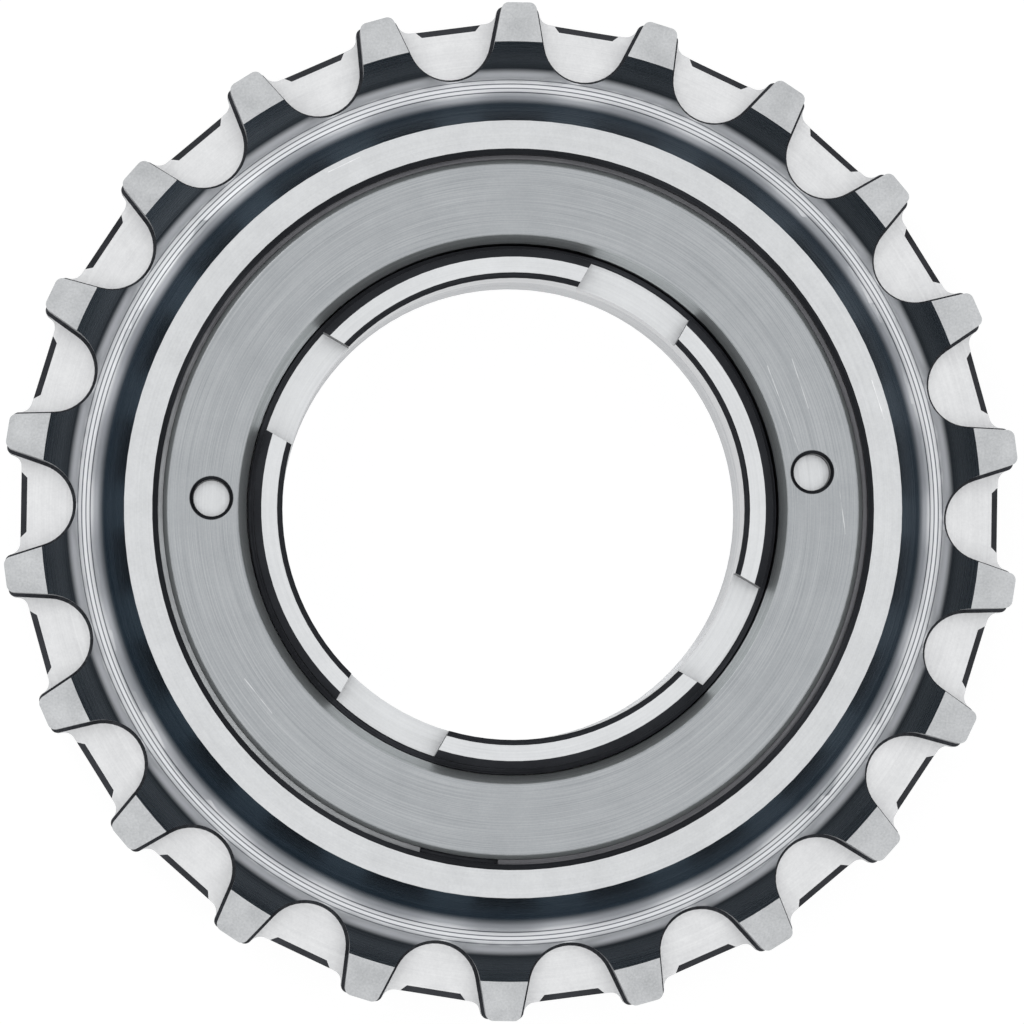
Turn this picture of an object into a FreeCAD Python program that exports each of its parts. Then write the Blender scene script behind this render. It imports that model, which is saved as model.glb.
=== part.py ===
"""Belt drive sprocket: a 22 tooth centre-fin belt sprocket whose shell is a single speed freewheel.

Millimetres. The axis is Z, +Z is the front face, and the origin is on the axis at the rear seat.
+Y is the top of the photograph. The teeth, the fin, the pawls and the ratchet are cut to shape,
and the fine threads are left as plain cylinders.
"""
import FreeCAD, Part
import math
import os

# Belt side
TOOTH_COUNT = 22
BELT_PITCH = 11.0
TIP_DROP = 1.015            # tooth tips below the belt's pitch circle
TOOTH_WIDTH = 11.0          # along the axis
TOOTH_REAR_Z = 0.5          # rear face of the teeth above the seat
TOOTH_PHASE = 7.3           # angle of the first tooth from +X, degrees
TOOTH_FACE_DEPTH = 2.9      # flat part of a tooth's face, from the tip inwards
VALLEY_DEPTH = 5.3
VALLEY_ROUND = 3.3          # radius of the rounded valley bottom
FLANK_ANGLE = 18.2          # flank against the valley's middle line, degrees
TIP_ROUND = 0.55
VALLEY_BEVEL = 0.25         # bevel between the valley wall and the fin
FIN_THICKNESS = 2.2
FIN_DROP = 1.35             # fin's rim below the tooth tips
FIN_CORNER = 0.9            # rounding where the fin runs up to a tooth
FIN_BEVEL = 0.45
FIN_BEVEL_WIDTH = 4.9       # length of the bevelled edge at the fin's rim

# Groove between the teeth and the front land, and the shallower one behind
GROOVE_FROM_TIP = 5.5
GROOVE_WIDTH = 1.1
GROOVE_DEPTH = 2.5          # below the tooth faces
GROOVE_OUTER_ROUND = 1.2    # radius at the foot of the teeth's slope
GROOVE_INNER_ROUND = 0.9
GROOVE_WALL_FOOT = 0.6
GROOVE_WALL_RISE = 1.2
REAR_GROOVE_DEPTH = 2.2
REAR_GROOVE_WIDTH = 2.6
REAR_GROOVE_SLOPE = 0.8

# Inner body, from the bore outwards
BORE_R = 16.85              # crest of the 34.8 mm hub thread
BORE_BEVEL = 0.6
CORE_WALL = 4.25            # bore to the outside of the pawls' seats
THREAD_WALL = 2.55          # bore to the thread that carries the lockring
NECK_DROP = 0.45            # relief above that thread
RIM_BEVEL = 0.55
RIM_INNER_BEVEL = 0.4
RIM_RISE = 1.4              # rim above the lockring's face
NOTCH_COUNT = 4
NOTCH_WIDTH = 8.26
NOTCH_DEPTH = 3.4
NOTCH_PHASE = 59.7
NECK_BELOW_NOTCH = 0.6
RUN_GAP = 0.3               # between the turning shell and what stands still

# Ratchet and pawls
RATCHET_COUNT = 36
RATCHET_GAP = 0.4           # core to the ratchet's crests
RATCHET_DEPTH = 1.5
RATCHET_WIDTH = 5.0
RATCHET_LAND = 1.0          # width of a ratchet tooth's crest, degrees
PAWL_COUNT = 3
PAWL_PHASE = 82.0           # angle of the first pawl's pivot from +X, degrees
PAWL_PIVOT_DEPTH = 1.8      # pivot below the core's surface
PAWL_HEEL_R = 1.25
PAWL_REACH = 7.0            # along the tangent, pivot to tip
PAWL_ROOT_PLAY = 0.39       # engaged tip to the ratchet's root
PAWL_TIP_THICKNESS = 1.7
PAWL_WAIST_DEPTH = 0.15
PAWL_WAIST_REACH = 3.0
PAWL_PLAY = 0.05
PAWL_END_PLAY = 0.1
POCKET_PLAY = 0.1
POCKET_END_PLAY = 0.45
POCKET_CORNER = 1.0
SPRING_WIRE = 0.6           # side of the spring's square wire
SPRING_DEPTH = 0.75         # spring's inside below the core's surface
SPRING_PLAY = 0.06
SPRING_GAP_ANGLE = 14.0
SPRING_GAP_PLACE = 40.0     # the gap's middle before the first pawl, degrees

# Ball races
BALL_R = 1.19
BALLS_PER_ROW = 6
RACE_PLAY = 0.04            # between a ball and each of its races
CONE_STEP = 0.47            # cone beyond the ratchet's crests
CUP_STEP = 0.92             # bore of the shell beyond the cup

# Rings at the rear and the front
SEAL_Z = 1.6
SEAL_THICKNESS = 1.0
SEAL_SHOULDER = 0.34
SEAL_DEPTH = 0.9
SEAL_PLAY = 0.1
SHIM_THICKNESS = 0.25
SHIM_COUNT = 2
SHIM_INSET = 0.2
DUST_RING_THICKNESS = 0.8
DUST_RING_WIDTH = 1.25
DUST_RING_DROP = 0.1        # below the lockring's lip
DUST_RING_GAP_ANGLES = (254.8, 267.5)
DUST_RING_PLAY = 0.03

# Lockring
LOCKRING_NECK = 2.44        # from the race up to the lip
LOCKRING_LIP = 0.9
LOCKRING_LIP_REACH = 0.25   # beyond the shell's bore
LOCKRING_LIP_GAP = 0.35
LOCKRING_BEVEL = 0.35
LOCKRING_BORE_BEVEL = 0.65
THREAD_PLAY = 0.05
PIN_HOLE_R = 1.35
PIN_HOLE_BEVEL = 0.25
PIN_HOLE_DEPTH = 1.8
PIN_HOLE_INSET = 3.55       # hole's middle from the lockring's edge
PIN_ANGLES = (7.1, 177.9)

# Front land of the shell
LAND_RISE = 0.7             # above the lockring's face
LAND_WIDTH = 2.05
LAND_BEVEL = 0.4

# Radii worked out from the rim inwards
TIP_R = TOOTH_COUNT * BELT_PITCH / (2 * math.pi) - TIP_DROP
FIN_R = TIP_R - FIN_DROP
TOOTH_FOOT_R = TIP_R - TOOTH_FACE_DEPTH
VALLEY_ROOT_R = TIP_R - VALLEY_DEPTH
GROOVE_OUTER_R = TIP_R - GROOVE_FROM_TIP
GROOVE_INNER_R = GROOVE_OUTER_R - GROOVE_WIDTH
GROOVE_WALL_R = GROOVE_INNER_R - GROOVE_WALL_FOOT
REAR_BOSS_FOOT_R = GROOVE_OUTER_R - REAR_GROOVE_WIDTH
REAR_BOSS_R = REAR_BOSS_FOOT_R - REAR_GROOVE_SLOPE

# Radii worked out from the bore outwards
CORE_R = BORE_R + CORE_WALL
THREAD_R = BORE_R + THREAD_WALL
NECK_R = THREAD_R - NECK_DROP
RATCHET_TIP_R = CORE_R + RATCHET_GAP
RATCHET_ROOT_R = RATCHET_TIP_R + RATCHET_DEPTH
BALL_REACH = BALL_R + RACE_PLAY
RACE_BEVEL = BALL_REACH * (2 - math.sqrt(2))    # a slope at 45 degrees that just clears the ball
CONE_R = RATCHET_TIP_R + CONE_STEP
BALL_PITCH_R = CONE_R + BALL_REACH
CUP_R = BALL_PITCH_R + BALL_REACH
SHELL_BORE_R = CUP_R + CUP_STEP
STILL_R = SHELL_BORE_R - RUN_GAP                # flange of the inner body, neck of the lockring
DUST_RING_OUTER_R = SHELL_BORE_R + DUST_RING_WIDTH
LOCKRING_R = SHELL_BORE_R + LOCKRING_LIP_REACH
LAND_BORE_R = LOCKRING_R + LOCKRING_LIP_GAP
LAND_INNER_R = LAND_BORE_R + LAND_BEVEL
LAND_OUTER_R = LAND_INNER_R + LAND_WIDTH
PIN_CIRCLE_R = LOCKRING_R - PIN_HOLE_INSET
PAWL_PIVOT_R = CORE_R - PAWL_PIVOT_DEPTH
PAWL_WAIST_R = CORE_R - PAWL_WAIST_DEPTH
PAWL_TIP_R = RATCHET_ROOT_R - PAWL_ROOT_PLAY
PAWL_LIFT = math.sqrt(PAWL_TIP_R ** 2 - PAWL_REACH ** 2) - PAWL_PIVOT_R
POCKET_FLOOR_R = PAWL_PIVOT_R - PAWL_HEEL_R - POCKET_PLAY
SPRING_INNER_R = CORE_R - SPRING_DEPTH
SHIM_OUTER_R = CORE_R - SHIM_INSET

# Heights worked out from the seat upwards
TOOTH_FRONT_Z = TOOTH_REAR_Z + TOOTH_WIDTH
TOOTH_MIDDLE_Z = TOOTH_REAR_Z + TOOTH_WIDTH / 2
TOOTH_PITCH = 360.0 / TOOTH_COUNT
REAR_CONE_Z = SEAL_Z + SEAL_THICKNESS + SEAL_SHOULDER
REAR_BALL_Z = REAR_CONE_Z + BALL_REACH
RATCHET_REAR_Z = REAR_BALL_Z + BALL_REACH
RATCHET_FRONT_Z = RATCHET_REAR_Z + RATCHET_WIDTH
FRONT_BALL_Z = RATCHET_FRONT_Z + BALL_REACH
FRONT_CONE_Z = FRONT_BALL_Z + BALL_REACH
POCKET_REAR_Z = RATCHET_REAR_Z - RUN_GAP
SHIM_TOP_Z = RATCHET_FRONT_Z + RUN_GAP
CORE_TOP_Z = SHIM_TOP_Z - SHIM_COUNT * SHIM_THICKNESS
PAWL_MIDDLE_Z = (POCKET_REAR_Z + CORE_TOP_Z) / 2
LIP_UNDER_Z = FRONT_CONE_Z + LOCKRING_NECK
LOCKRING_FRONT_Z = LIP_UNDER_Z + LOCKRING_LIP
DUST_RING_TOP_Z = LIP_UNDER_Z - DUST_RING_DROP
SHELL_FRONT_Z = LOCKRING_FRONT_Z + LAND_RISE
BODY_FRONT_Z = LOCKRING_FRONT_Z + RIM_RISE
NOTCH_FLOOR_Z = BODY_FRONT_Z - NOTCH_DEPTH
THREAD_TOP_Z = NOTCH_FLOOR_Z - NECK_BELOW_NOTCH

AXIS = FreeCAD.Vector(0, 0, 1)
CENTRE = FreeCAD.Vector(0, 0, 0)


def flat(x, y, z=0.0):
    return FreeCAD.Vector(x, y, z)


def turn_about_axis(shape, angle):
    copy = shape.copy()
    copy.rotate(CENTRE, AXIS, angle)
    return copy


def all_round(shape, count, phase=0.0):
    """The same solid repeated round the axis."""
    return [turn_about_axis(shape, phase + 360.0 * i / count) for i in range(count)]


def turned(outline):
    """A solid of revolution about Z from (radius, height) corners. A third value rounds a corner."""
    wire = rounded_outline([(*corner, 0)[:3] for corner in outline])
    wire.rotate(CENTRE, FreeCAD.Vector(1, 0, 0), 90)
    return Part.Face(wire).revolve(CENTRE, AXIS, 360)


def tube(outer, inner, bottom, top):
    return turned([(inner, bottom), (outer, bottom), (outer, top), (inner, top)])


def rounded_outline(corners):
    """A closed wire in the XY plane from (x, y, radius) corners, each corner an arc of its radius."""
    edges = []
    ends = []
    for i, (x, y, radius) in enumerate(corners):
        here = flat(x, y)
        before = flat(*corners[i - 1][:2])
        after = flat(*corners[(i + 1) % len(corners)][:2])
        if radius == 0:
            ends.append((here, None, here))
            continue
        to_before = (before - here).normalize()
        to_after = (after - here).normalize()
        half = to_before.getAngle(to_after) / 2
        start = here + to_before * (radius / math.tan(half))
        end = here + to_after * (radius / math.tan(half))
        inward = (to_before + to_after).normalize()
        middle = here + inward * (radius / math.sin(half) - radius)
        ends.append((start, middle, end))
    for i, (start, middle, end) in enumerate(ends):
        leave = ends[i - 1][2]
        if leave.distanceToPoint(start) > 1e-6:
            edges.append(Part.makeLine(leave, start))
        if middle is not None:
            edges.append(Part.Arc(start, middle, end).toShape())
    return Part.Wire(edges)


def prism(wire, bottom, top):
    face = Part.Face(wire)
    face.translate(flat(0, 0, bottom))
    return face.extrude(flat(0, 0, top - bottom))


def flank_x(y, inset=0.0):
    """Half the width of a valley at the height y above the axis."""
    flank = math.radians(FLANK_ANGLE)
    above_centre = y - VALLEY_ROOT_R - VALLEY_ROUND
    return (VALLEY_ROUND - inset + above_centre * math.sin(flank)) / math.cos(flank)


def toothed_outline(bottom, inset=0.0):
    """The rim seen from the front. The bottom holds the corners of one valley that opens along +Y."""
    edge = flank_x(TIP_R, inset)
    shoulder = math.sqrt(TIP_R ** 2 - edge ** 2)
    valley = [(-edge, shoulder, TIP_ROUND)] + bottom + [(edge, shoulder, TIP_ROUND)]
    corners = []
    for i in range(TOOTH_COUNT):
        turn = FreeCAD.Rotation(AXIS, TOOTH_PHASE - 90.0 - (i + 0.5) * TOOTH_PITCH)
        for x, y, radius in valley:
            place = turn.multVec(flat(x, y))
            corners.append((place.x, place.y, radius))
    return rounded_outline(corners)


def tooth_outline(inset=0.0):
    """Round-bottomed valleys: the flanks would meet below the bottom, and the round joins them."""
    centre = VALLEY_ROOT_R + VALLEY_ROUND
    round_bottom = VALLEY_ROUND - inset
    meet = centre - round_bottom / math.sin(math.radians(FLANK_ANGLE))
    return toothed_outline([(0, meet, round_bottom)], inset)


def fin_outline():
    foot = flank_x(FIN_R, VALLEY_BEVEL)
    return toothed_outline([(-foot, FIN_R, FIN_CORNER), (foot, FIN_R, FIN_CORNER)], VALLEY_BEVEL)


def belt_rim():
    """Two rows of teeth with the fin between them, as a stack of toothed slabs."""
    fin_front = TOOTH_MIDDLE_Z + FIN_THICKNESS / 2
    fin_rear = TOOTH_MIDDLE_Z - FIN_THICKNESS / 2
    rim = prism(fin_outline(), fin_rear, fin_front)
    for face, side, end in ((fin_front, 1, SHELL_FRONT_Z), (fin_rear, -1, TOOTH_REAR_Z)):
        foot = tooth_outline(VALLEY_BEVEL)
        wall = tooth_outline()
        foot.translate(flat(0, 0, face))
        wall.translate(flat(0, 0, face + side * VALLEY_BEVEL))
        bevel = Part.makeLoft([foot, wall], True, True)
        straight = Part.Face(wall).extrude(flat(0, 0, end - face - side * VALLEY_BEVEL))
        rim = rim.fuse([bevel, straight])
    bevels = []
    for face, side in ((fin_front, 1), (fin_rear, -1)):
        bevels += all_round(fin_bevel(face, side), TOOTH_COUNT, TOOTH_PHASE - 90.0 + TOOTH_PITCH / 2)
    return rim.cut(bevels)


def fin_bevel(level, side):
    """The bevelled edge of the fin's rim in the middle of a valley, on one side of the fin."""
    outer = FIN_BEVEL_WIDTH / 2 + FIN_BEVEL
    inner = FIN_BEVEL_WIDTH / 2 - FIN_BEVEL
    low = FIN_R - FIN_BEVEL
    high = FIN_R + FIN_BEVEL
    section = Part.Face(Part.makePolygon([
        flat(-outer, low, level),
        flat(-outer, high, level - side * 2 * FIN_BEVEL),
        flat(-outer, high, level),
        flat(-outer, low, level),
    ]))
    wedge = section.extrude(flat(2 * outer, 0, 0))
    ends = Part.makePolygon([flat(-inner, low), flat(inner, low), flat(outer, high), flat(-outer, high),
                             flat(-inner, low)])
    return wedge.common(prism(ends, level - 2, level + 2))


def pawl_frame():
    """The pawl's tip, its direction and its outward normal, for a pivot on +X and a tip towards +Y."""
    pivot = flat(PAWL_PIVOT_R, 0)
    tip = pivot + flat(PAWL_LIFT, PAWL_REACH)
    along = (tip - pivot).normalize()
    outward = flat(along.y, -along.x)
    return pivot, tip, along, outward


def point_at_radius(start, direction, radius):
    """Where a line in the XY plane meets a circle about the axis, on the outward side."""
    half = start.dot(direction)
    length = -half + math.sqrt(half * half - start.dot(start) + radius * radius)
    return start + direction * length


def ratchet_space():
    """The saw-tooth space inside the shell: each driving face lies square to a pawl's line."""
    _, tip, along, outward = pawl_frame()
    face_start = tip + along * PAWL_END_PLAY - outward * PAWL_TIP_THICKNESS
    root = point_at_radius(face_start, outward, RATCHET_ROOT_R)
    crest = point_at_radius(face_start, outward, RATCHET_TIP_R)
    step = 360.0 / RATCHET_COUNT
    turn = FreeCAD.Rotation(AXIS, RATCHET_LAND)
    land = turn.multVec(crest)
    points = []
    for i in range(RATCHET_COUNT):
        place = FreeCAD.Rotation(AXIS, PAWL_PHASE + i * step)
        points += [place.multVec(root), place.multVec(crest), place.multVec(land)]
    wire = Part.makePolygon(points + points[:1])
    return prism(wire, RATCHET_REAR_Z - 1.0, RATCHET_FRONT_Z + 1.0)


def sprocket_shell():
    tooth_front = TOOTH_FRONT_Z
    groove_z = tooth_front - GROOVE_DEPTH
    rear_groove_z = TOOTH_REAR_Z + REAR_GROOVE_DEPTH
    ring_bottom = DUST_RING_TOP_Z - DUST_RING_THICKNESS
    hollow_r = RATCHET_TIP_R - 1.0
    body = turned([
        (LAND_INNER_R, SHELL_FRONT_Z),
        (LAND_OUTER_R, SHELL_FRONT_Z),
        (GROOVE_WALL_R, groove_z + GROOVE_WALL_RISE),
        (GROOVE_INNER_R, groove_z, GROOVE_INNER_ROUND),
        (GROOVE_OUTER_R, groove_z, GROOVE_OUTER_ROUND),
        (TOOTH_FOOT_R, tooth_front),
        (TIP_R, tooth_front),
        (TIP_R, TOOTH_REAR_Z),
        (TOOTH_FOOT_R, TOOTH_REAR_Z),
        (GROOVE_OUTER_R, rear_groove_z),
        (REAR_BOSS_FOOT_R, rear_groove_z),
        (REAR_BOSS_R, TOOTH_REAR_Z),
        (SHELL_BORE_R, TOOTH_REAR_Z),
        (SHELL_BORE_R, REAR_CONE_Z + RUN_GAP),
        (CUP_R, REAR_CONE_Z + RUN_GAP),
        (CUP_R, RATCHET_REAR_Z - RACE_BEVEL),
        (CUP_R - RACE_BEVEL, RATCHET_REAR_Z),
        (hollow_r, RATCHET_REAR_Z),
        (hollow_r, RATCHET_FRONT_Z),
        (CUP_R - RACE_BEVEL, RATCHET_FRONT_Z),
        (CUP_R, RATCHET_FRONT_Z + RACE_BEVEL),
        (CUP_R, FRONT_CONE_Z - RUN_GAP),
        (SHELL_BORE_R, FRONT_CONE_Z - RUN_GAP),
        (SHELL_BORE_R, ring_bottom - DUST_RING_PLAY),
        (DUST_RING_OUTER_R, ring_bottom - DUST_RING_PLAY),
        (DUST_RING_OUTER_R, DUST_RING_TOP_Z + DUST_RING_PLAY),
        (LAND_BORE_R, DUST_RING_TOP_Z + DUST_RING_PLAY),
        (LAND_BORE_R, SHELL_FRONT_Z - LAND_BEVEL),
    ])
    return body.cut(ratchet_space()).common(belt_rim())


def pawl_pocket():
    """The seat of one pawl in the inner body, with a round socket for its heel."""
    pivot, _, _, _ = pawl_frame()
    end = math.hypot(PAWL_REACH, PAWL_LIFT) + POCKET_END_PLAY
    outline = rounded_outline([
        (POCKET_FLOOR_R, 0, 0),
        (CORE_R + 1.0, PAWL_HEEL_R * 0.5, 0),
        (CORE_R + 1.0, end + POCKET_CORNER, 0),
        (POCKET_FLOOR_R, end, POCKET_CORNER),
    ])
    height = CORE_TOP_Z - POCKET_REAR_Z + 1.0
    socket = Part.makeCylinder(PAWL_HEEL_R + PAWL_PLAY, height, flat(pivot.x, 0, POCKET_REAR_Z))
    return prism(outline, POCKET_REAR_Z, CORE_TOP_Z + 1.0).fuse(socket)


def spring_track(play):
    """The groove round the core, and across the pawls, in which the spring ring lies."""
    half = SPRING_WIRE / 2 + play
    return tube(RATCHET_ROOT_R + 1.0, SPRING_INNER_R - play, PAWL_MIDDLE_Z - half, PAWL_MIDDLE_Z + half)


def inner_body():
    body = turned([
        (BORE_R + BORE_BEVEL, 0),
        (STILL_R, 0),
        (STILL_R, SEAL_Z),
        (STILL_R - SEAL_DEPTH, SEAL_Z),
        (STILL_R - SEAL_DEPTH, SEAL_Z + SEAL_THICKNESS),
        (STILL_R, SEAL_Z + SEAL_THICKNESS),
        (STILL_R, REAR_CONE_Z),
        (CONE_R + RACE_BEVEL, REAR_CONE_Z),
        (CONE_R, REAR_CONE_Z + RACE_BEVEL),
        (CONE_R, POCKET_REAR_Z),
        (CORE_R, POCKET_REAR_Z),
        (CORE_R, CORE_TOP_Z),
        (THREAD_R, CORE_TOP_Z),
        (THREAD_R, THREAD_TOP_Z),
        (NECK_R, THREAD_TOP_Z),
        (NECK_R, BODY_FRONT_Z - RIM_BEVEL),
        (NECK_R - RIM_BEVEL, BODY_FRONT_Z),
        (BORE_R + RIM_INNER_BEVEL, BODY_FRONT_Z),
        (BORE_R, BODY_FRONT_Z - RIM_INNER_BEVEL),
        (BORE_R, BORE_BEVEL),
    ])
    notch = Part.makeBox(NECK_R + 3.0, NOTCH_WIDTH, BODY_FRONT_Z, flat(0, -NOTCH_WIDTH / 2, NOTCH_FLOOR_Z))
    cutters = all_round(notch, NOTCH_COUNT, NOTCH_PHASE)
    cutters += all_round(pawl_pocket(), PAWL_COUNT, PAWL_PHASE)
    cutters.append(spring_track(SPRING_PLAY))
    return body.cut(cutters)


def pawl(number):
    pivot, tip, along, outward = pawl_frame()
    low = POCKET_REAR_Z + PAWL_END_PLAY
    high = CORE_TOP_Z - PAWL_END_PLAY
    waist_turn = math.asin(PAWL_WAIST_REACH / PAWL_WAIST_R)
    waist = flat(PAWL_WAIST_R * math.cos(waist_turn), PAWL_WAIST_REACH)
    under_tip = tip - outward * PAWL_TIP_THICKNESS
    blade = Part.makePolygon([
        pivot + outward * PAWL_HEEL_R,
        waist,
        tip,
        under_tip,
        pivot - outward * PAWL_HEEL_R,
        pivot + outward * PAWL_HEEL_R,
    ])
    heel = Part.makeCylinder(PAWL_HEEL_R, high - low, flat(pivot.x, pivot.y, low))
    shape = prism(blade, low, high).fuse(heel).removeSplitter().cut(spring_track(2 * SPRING_PLAY))
    return turn_about_axis(shape, PAWL_PHASE + number * 360.0 / PAWL_COUNT)


def split_ring(inner, outer, bottom, top, start, end):
    """A flat ring with a gap that runs from the angle start to the angle end."""
    corners = [flat(inner, 0, bottom), flat(outer, 0, bottom), flat(outer, 0, top), flat(inner, 0, top)]
    face = Part.Face(Part.makePolygon(corners + corners[:1]))
    return turn_about_axis(face.revolve(CENTRE, AXIS, 360.0 - (end - start)), end)


def pawl_spring():
    """One split wire ring that lies in the pawls' slots and presses them outwards."""
    bottom = PAWL_MIDDLE_Z - SPRING_WIRE / 2
    gap_middle = PAWL_PHASE - SPRING_GAP_PLACE
    return split_ring(SPRING_INNER_R, SPRING_INNER_R + SPRING_WIRE, bottom, bottom + SPRING_WIRE,
                      gap_middle - SPRING_GAP_ANGLE / 2, gap_middle + SPRING_GAP_ANGLE / 2)


def lockring():
    bore_r = THREAD_R + THREAD_PLAY
    body = turned([
        (bore_r, SHIM_TOP_Z),
        (CONE_R, SHIM_TOP_Z),
        (CONE_R, FRONT_CONE_Z - RACE_BEVEL),
        (CONE_R + RACE_BEVEL, FRONT_CONE_Z),
        (STILL_R, FRONT_CONE_Z),
        (STILL_R, LIP_UNDER_Z),
        (LOCKRING_R, LIP_UNDER_Z),
        (LOCKRING_R, LOCKRING_FRONT_Z - LOCKRING_BEVEL),
        (LOCKRING_R - LOCKRING_BEVEL, LOCKRING_FRONT_Z),
        (bore_r + LOCKRING_BORE_BEVEL, LOCKRING_FRONT_Z),
        (bore_r, LOCKRING_FRONT_Z - LOCKRING_BORE_BEVEL),
    ])
    holes = []
    for angle in PIN_ANGLES:
        place = FreeCAD.Rotation(AXIS, angle).multVec(flat(PIN_CIRCLE_R, 0))
        hole = turned([
            (0, LOCKRING_FRONT_Z - PIN_HOLE_DEPTH),
            (PIN_HOLE_R, LOCKRING_FRONT_Z - PIN_HOLE_DEPTH),
            (PIN_HOLE_R, LOCKRING_FRONT_Z - PIN_HOLE_BEVEL),
            (PIN_HOLE_R + PIN_HOLE_BEVEL, LOCKRING_FRONT_Z),
            (0, LOCKRING_FRONT_Z),
        ])
        hole.translate(place)
        holes.append(hole)
    return body.cut(holes)


def dust_ring():
    """The split ring in the shell's groove, open at the lower left of the photograph."""
    start, end = DUST_RING_GAP_ANGLES
    return split_ring(SHELL_BORE_R, DUST_RING_OUTER_R - DUST_RING_PLAY,
                      DUST_RING_TOP_Z - DUST_RING_THICKNESS, DUST_RING_TOP_Z, start, end)


def shim(number):
    bottom = CORE_TOP_Z + number * SHIM_THICKNESS
    return tube(SHIM_OUTER_R, THREAD_R + THREAD_PLAY, bottom, bottom + SHIM_THICKNESS)


def rear_seal():
    return tube(SHELL_BORE_R - SEAL_PLAY, STILL_R - SEAL_DEPTH, SEAL_Z, SEAL_Z + SEAL_THICKNESS)


def balls(height):
    """One row of balls, each a round of eight straight sides, so that its slopes meet the races'."""
    side = BALL_R * math.tan(math.radians(22.5))
    ball = turned([(0, -BALL_R), (side, -BALL_R), (BALL_R, -side), (BALL_R, side), (side, BALL_R), (0, BALL_R)])
    ball.translate(flat(BALL_PITCH_R, 0, height))
    return Part.makeCompound(all_round(ball, BALLS_PER_ROW, PAWL_PHASE))


def main():
    os.makedirs("parts", exist_ok=True)
    nodes = {
        "sprocket_shell": sprocket_shell(),
        "inner_body": inner_body(),
        "lockring": lockring(),
        "dust_ring": dust_ring(),
        "pawl_spring": pawl_spring(),
        "rear_seal": rear_seal(),
        "front_balls": balls(FRONT_BALL_Z),
        "rear_balls": balls(REAR_BALL_Z),
    }
    for number in range(PAWL_COUNT):
        nodes["pawl_%d" % (number + 1)] = pawl(number)
    for number in range(SHIM_COUNT):
        nodes["shim_%d" % (number + 1)] = shim(number)
    for name, shape in nodes.items():
        print(name, "valid", shape.isValid(), "solids", len(shape.Solids), "volume", round(shape.Volume, 2))
        shape.exportStep("parts/%s.step" % name)


main()
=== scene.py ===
import math
from statistics import mean

import bmesh
import bpy
from mathutils import Matrix, Vector


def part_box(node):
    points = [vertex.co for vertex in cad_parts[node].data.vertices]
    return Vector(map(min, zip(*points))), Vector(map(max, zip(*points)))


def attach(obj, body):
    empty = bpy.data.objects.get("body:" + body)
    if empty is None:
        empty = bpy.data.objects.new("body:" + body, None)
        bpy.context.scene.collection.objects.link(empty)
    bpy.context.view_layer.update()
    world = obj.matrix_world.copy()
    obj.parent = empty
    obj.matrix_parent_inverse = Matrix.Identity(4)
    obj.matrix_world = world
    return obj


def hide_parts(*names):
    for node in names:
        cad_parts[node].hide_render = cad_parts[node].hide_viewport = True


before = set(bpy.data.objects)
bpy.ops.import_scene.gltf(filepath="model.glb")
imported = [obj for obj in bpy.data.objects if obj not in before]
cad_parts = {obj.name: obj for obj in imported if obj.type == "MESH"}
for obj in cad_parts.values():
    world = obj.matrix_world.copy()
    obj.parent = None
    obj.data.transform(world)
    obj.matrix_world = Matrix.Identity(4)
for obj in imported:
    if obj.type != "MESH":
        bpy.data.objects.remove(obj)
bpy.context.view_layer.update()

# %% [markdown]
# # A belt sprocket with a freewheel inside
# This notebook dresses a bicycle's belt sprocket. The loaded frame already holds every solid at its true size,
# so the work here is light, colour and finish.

MM = 0.001

# %% [markdown]
# ## Reading the heights off the solids
# Each finish belongs to a region: the blasted tooth faces, the fin between the two rows of teeth, the turned
# groove, the flat land. We find these regions by height and radius, and we read the heights from the solids
# themselves. Only the teeth's width is typed again, because no solid's box ends at their front faces.

# %% Heights of the main surfaces
shell_low, shell_high = (Vector(corner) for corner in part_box("sprocket_shell"))
LAND_Z = shell_high.z
TOOTH_REAR_Z = shell_low.z
TOOTH_WIDTH = 11.0 * MM
TOOTH_FRONT_Z = TOOTH_REAR_Z + TOOTH_WIDTH
FIN_MIDDLE_Z = (TOOTH_REAR_Z + TOOTH_FRONT_Z) / 2
print("land at", round(LAND_Z / MM, 2), "mm, tooth faces at", round(TOOTH_FRONT_Z / MM, 2), "mm")

# %% [markdown]
# ## Small helpers for node trees
# A shader is a tree of nodes, and a node group is a tree that several shaders share. These short helpers keep
# the cells below readable: they add a node and set its values, add a step of maths, or start a new group.
# Writing them once is easier than repeating the same four lines.


# %% Helpers that build nodes
def add_node(tree, kind, settings=None, **values):
    """Each value is set or linked by its input's name, or by its number: i2 means input 2."""
    node = tree.nodes.new(kind)
    for name, value in (settings or {}).items():
        setattr(node, name, value)
    for name, value in values.items():
        socket = node.inputs[int(name[1:])] if name[0] == "i" and name[1:].isdigit() else node.inputs[name]
        if isinstance(value, bpy.types.NodeSocket):
            tree.links.new(value, socket)
        else:
            socket.default_value = value
    return node


def maths(tree, operation, first, second=0.0, clamp=False):
    node = add_node(tree, "ShaderNodeMath", {"operation": operation, "use_clamp": clamp}, i0=first, i1=second)
    return node.outputs[0]


def vector_maths(tree, operation, first, second=(0.0, 0.0, 0.0), output=0):
    return add_node(tree, "ShaderNodeVectorMath", {"operation": operation}, i0=first, i1=second).outputs[output]


def new_group(name, inputs, outputs):
    group = bpy.data.node_groups.new(name, "ShaderNodeTree")
    for label, kind, default in inputs:
        socket = group.interface.new_socket(label, in_out="INPUT", socket_type=kind)
        socket.default_value = default
    for label, kind in outputs:
        group.interface.new_socket(label, in_out="OUTPUT", socket_type=kind)
    return group, group.nodes.new("NodeGroupInput"), group.nodes.new("NodeGroupOutput")


# %% [markdown]
# ## Places, ramps, mixes and noise
# Four kinds of node come back in every finish: the point's place on the object, a ramp that turns one range of
# numbers into another, a mix of two values, and noise. With a helper for each, a finish reads almost like a
# sentence, and its numbers have names.

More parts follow.
